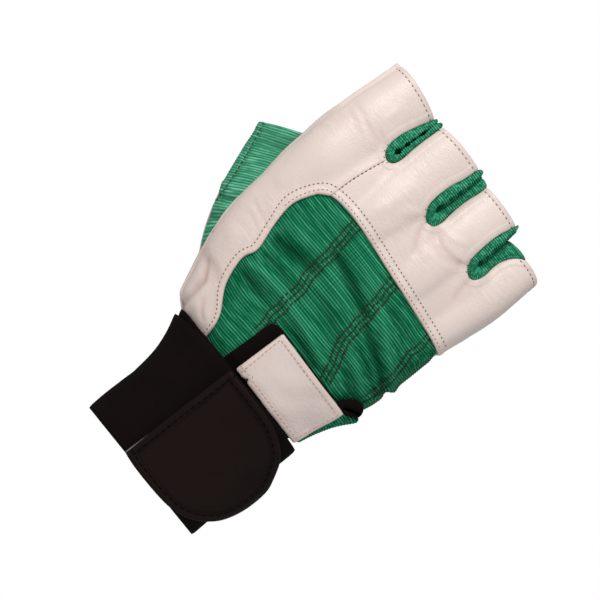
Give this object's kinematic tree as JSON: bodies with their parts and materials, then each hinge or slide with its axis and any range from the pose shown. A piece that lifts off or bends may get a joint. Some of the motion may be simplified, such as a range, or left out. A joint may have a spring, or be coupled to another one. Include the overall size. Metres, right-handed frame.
{
  "type": "fingerless training glove",
  "caption": "Right-hand fingerless training glove of white leather and green ribbed cloth, with knitted finger gussets, a patched closing tab and a wide elastic wrist wrap with a rounded flap.",
  "frame": {"origin": "middle of the wrist opening, where the forearm goes in", "axes": "+Z along the forearm towards the fingers, -Y out of the back of the hand, +X towards the little finger"},
  "size_m": [0.1199, 0.0585, 0.1813],
  "materials": {
    "leather": "soft white goatskin, fine grain",
    "ribbed_cloth": "green ribbed stretch cloth, streaky",
    "gusset_knit": "green knitted gusset",
    "elastic": "black woven elastic",
    "coated_flap": "black coated cloth, satin"
  },
  "bodies": {
    "root": {"palm_leather": "leather", "index_leather": "leather", "knuckle_leather": "leather", "tab_patch": "leather", "back_panel": "ribbed_cloth", "thumb_sleeve": "ribbed_cloth", "closure_tab": "ribbed_cloth", "gusset_index_middle": "gusset_knit", "gusset_middle_ring": "gusset_knit", "gusset_ring_little": "gusset_knit", "wrist_wrap": "elastic", "hook_tape": "elastic", "closure_flap": "coated_flap"}
  },
  "joints": []
}
